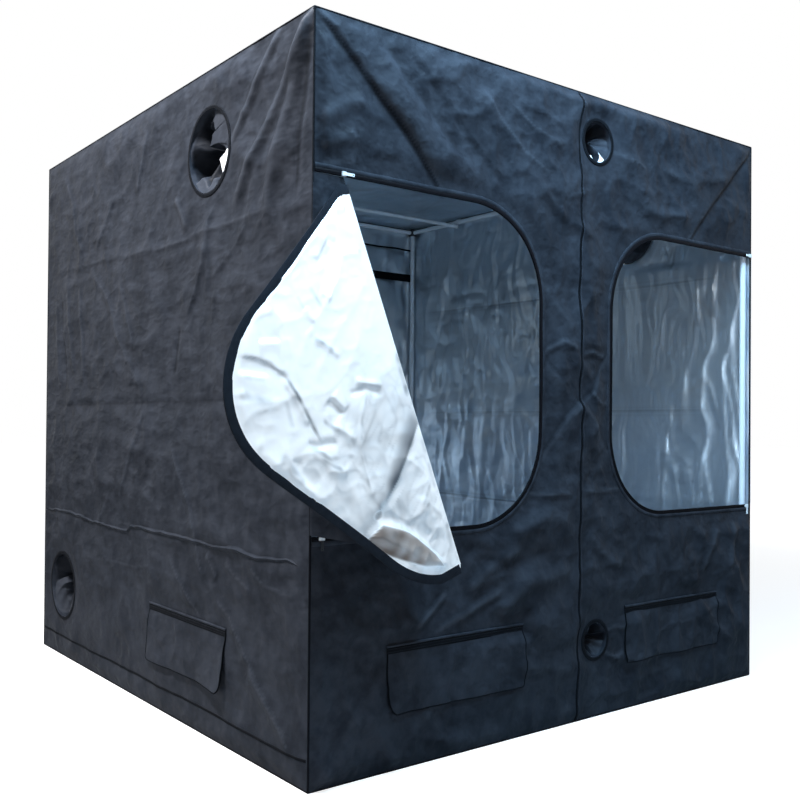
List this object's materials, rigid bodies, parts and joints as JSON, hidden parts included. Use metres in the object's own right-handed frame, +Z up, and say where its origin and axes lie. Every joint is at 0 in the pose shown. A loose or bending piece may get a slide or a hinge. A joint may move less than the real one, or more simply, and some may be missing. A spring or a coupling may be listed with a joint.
{
  "type": "indoor grow tent",
  "caption": "Square indoor grow tent: steel pole frame in a black canvas cover lined with silver film, with two D-shaped zip doors, ports with sleeves, vent covers and a floor tray.",
  "frame": {"origin": "middle of the floor panel's underside", "axes": "+Z up, -Y out of the front with the two doors, +X to the right of someone who looks at the front along +Y"},
  "size_m": [2.2737, 2.1305, 2],
  "materials": {
    "canvas": "black coated oxford canvas, silver film lining on the inside",
    "silver_film": "crinkled silver reflective film on canvas",
    "webbing": "black woven tape",
    "pole": "white powder coat",
    "connector": "moulded black plastic",
    "zip_slider": "white enamel"
  },
  "bodies": {
    "tent": {"post_front_left": "pole", "post_front_right": "pole", "post_rear_left": "pole", "post_rear_right": "pole", "post_front_centre": "pole", "post_rear_centre": "pole", "rail_front_base_left": "pole", "rail_front_base_right": "pole", "rail_front_top_left": "pole", "rail_front_top_right": "pole", "rail_rear_base_left": "pole", "rail_rear_base_right": "pole", "rail_rear_top_left": "pole", "rail_rear_top_right": "pole", "rail_left_base": "pole", "rail_left_top": "pole", "rail_right_base": "pole", "rail_right_top": "pole", "corner_front_left_base": "connector", "corner_front_left_top": "connector", "corner_front_right_base": "connector", "corner_front_right_top": "connector", "corner_rear_left_base": "connector", "corner_rear_left_top": "connector", "corner_rear_right_base": "connector", "corner_rear_right_top": "connector", "tee_front_base": "connector", "tee_front_top": "connector", "tee_rear_base": "connector", "tee_rear_top": "connector", "front_left_panel": "canvas", "front_right_panel": "canvas", "rear_panel": "canvas", "left_panel": "canvas", "right_panel": "canvas", "roof_panel": "canvas", "floor_panel": "canvas", "floor_tray": "silver_film", "rear_strap": "webbing", "left_zip_track": "webbing", "right_zip_track": "webbing", "sleeve_left_upper": "canvas", "sleeve_left_lower": "canvas", "sleeve_right_upper": "canvas", "sleeve_right_lower": "canvas", "sleeve_front_upper": "canvas", "sleeve_front_lower": "canvas"},
    "front_bar": {"hanging_bar_front": "pole"},
    "rear_bar": {"hanging_bar_rear": "pole"},
    "left_apron": {"left_door_apron": "canvas"},
    "left_flap": {"left_door_flap": "silver_film"},
    "right_leaf": {"right_door": "silver_film"},
    "left_upper_slider": {"slider_left_upper": "zip_slider"},
    "left_lower_slider": {"slider_left_lower": "zip_slider"},
    "right_upper_slider": {"slider_right_upper": "zip_slider"},
    "right_lower_slider": {"slider_right_lower": "zip_slider"},
    "front_left_cover": {"cover_front_left": "canvas"},
    "front_right_cover": {"cover_front_right": "canvas"},
    "left_cover": {"cover_left": "canvas"},
    "right_cover": {"cover_right": "canvas"}
  },
  "joints": [
    {"name": "front_bar_slide", "type": "slide", "parent": "tent", "child": "front_bar", "axis": [0, 1, 0], "range_m": [-0.3, 0.25]},
    {"name": "rear_bar_slide", "type": "slide", "parent": "tent", "child": "rear_bar", "axis": [0, 1, 0], "range_m": [-0.25, 0.3]},
    {"name": "left_door_swing", "type": "hinge", "parent": "tent", "child": "left_apron", "pos_m": [-1.0013, -1.0013, 0.647], "axis": [0, 0, -1], "range_deg": [0, 90]},
    {"name": "left_door_fold", "type": "hinge", "parent": "left_apron", "child": "left_flap", "pos_m": [-0.906, -1.0026, 1.576], "axis": [-0.2958, 0.104, 0.9496], "range_deg": [0, 160]},
    {"name": "right_door_swing", "type": "hinge", "parent": "tent", "child": "right_leaf", "pos_m": [1.0013, -1.0013, 0.647], "axis": [0, 0, -1], "range_deg": [0, 270]},
    {"name": "left_upper_zip", "type": "slide", "parent": "tent", "child": "left_upper_slider", "axis": [1, 0, 0], "range_m": [-0.07, 0.46]},
    {"name": "left_lower_zip", "type": "slide", "parent": "tent", "child": "left_lower_slider", "axis": [1, 0, 0], "range_m": [-0.015, 0.52]},
    {"name": "right_upper_zip", "type": "slide", "parent": "tent", "child": "right_upper_slider", "axis": [-1, 0, 0], "range_m": [0, 0.52]},
    {"name": "right_lower_zip", "type": "slide", "parent": "tent", "child": "right_lower_slider", "axis": [-1, 0, 0], "range_m": [-0.015, 0.5]},
    {"name": "front_left_cover_lift", "type": "hinge", "parent": "tent", "child": "front_left_cover", "pos_m": [-0.492, -1.0013, 0.342], "axis": [-1, 0, 0], "range_deg": [0, 115]},
    {"name": "front_right_cover_lift", "type": "hinge", "parent": "tent", "child": "front_right_cover", "pos_m": [0.512, -1.0013, 0.342], "axis": [-1, 0, 0], "range_deg": [0, 115]},
    {"name": "left_cover_lift", "type": "hinge", "parent": "tent", "child": "left_cover", "pos_m": [-1.0013, -0.313, 0.342], "axis": [0, 1, 0], "range_deg": [0, 115]},
    {"name": "right_cover_lift", "type": "hinge", "parent": "tent", "child": "right_cover", "pos_m": [1.0013, -0.313, 0.342], "axis": [0, -1, 0], "range_deg": [0, 115]}
  ]
}
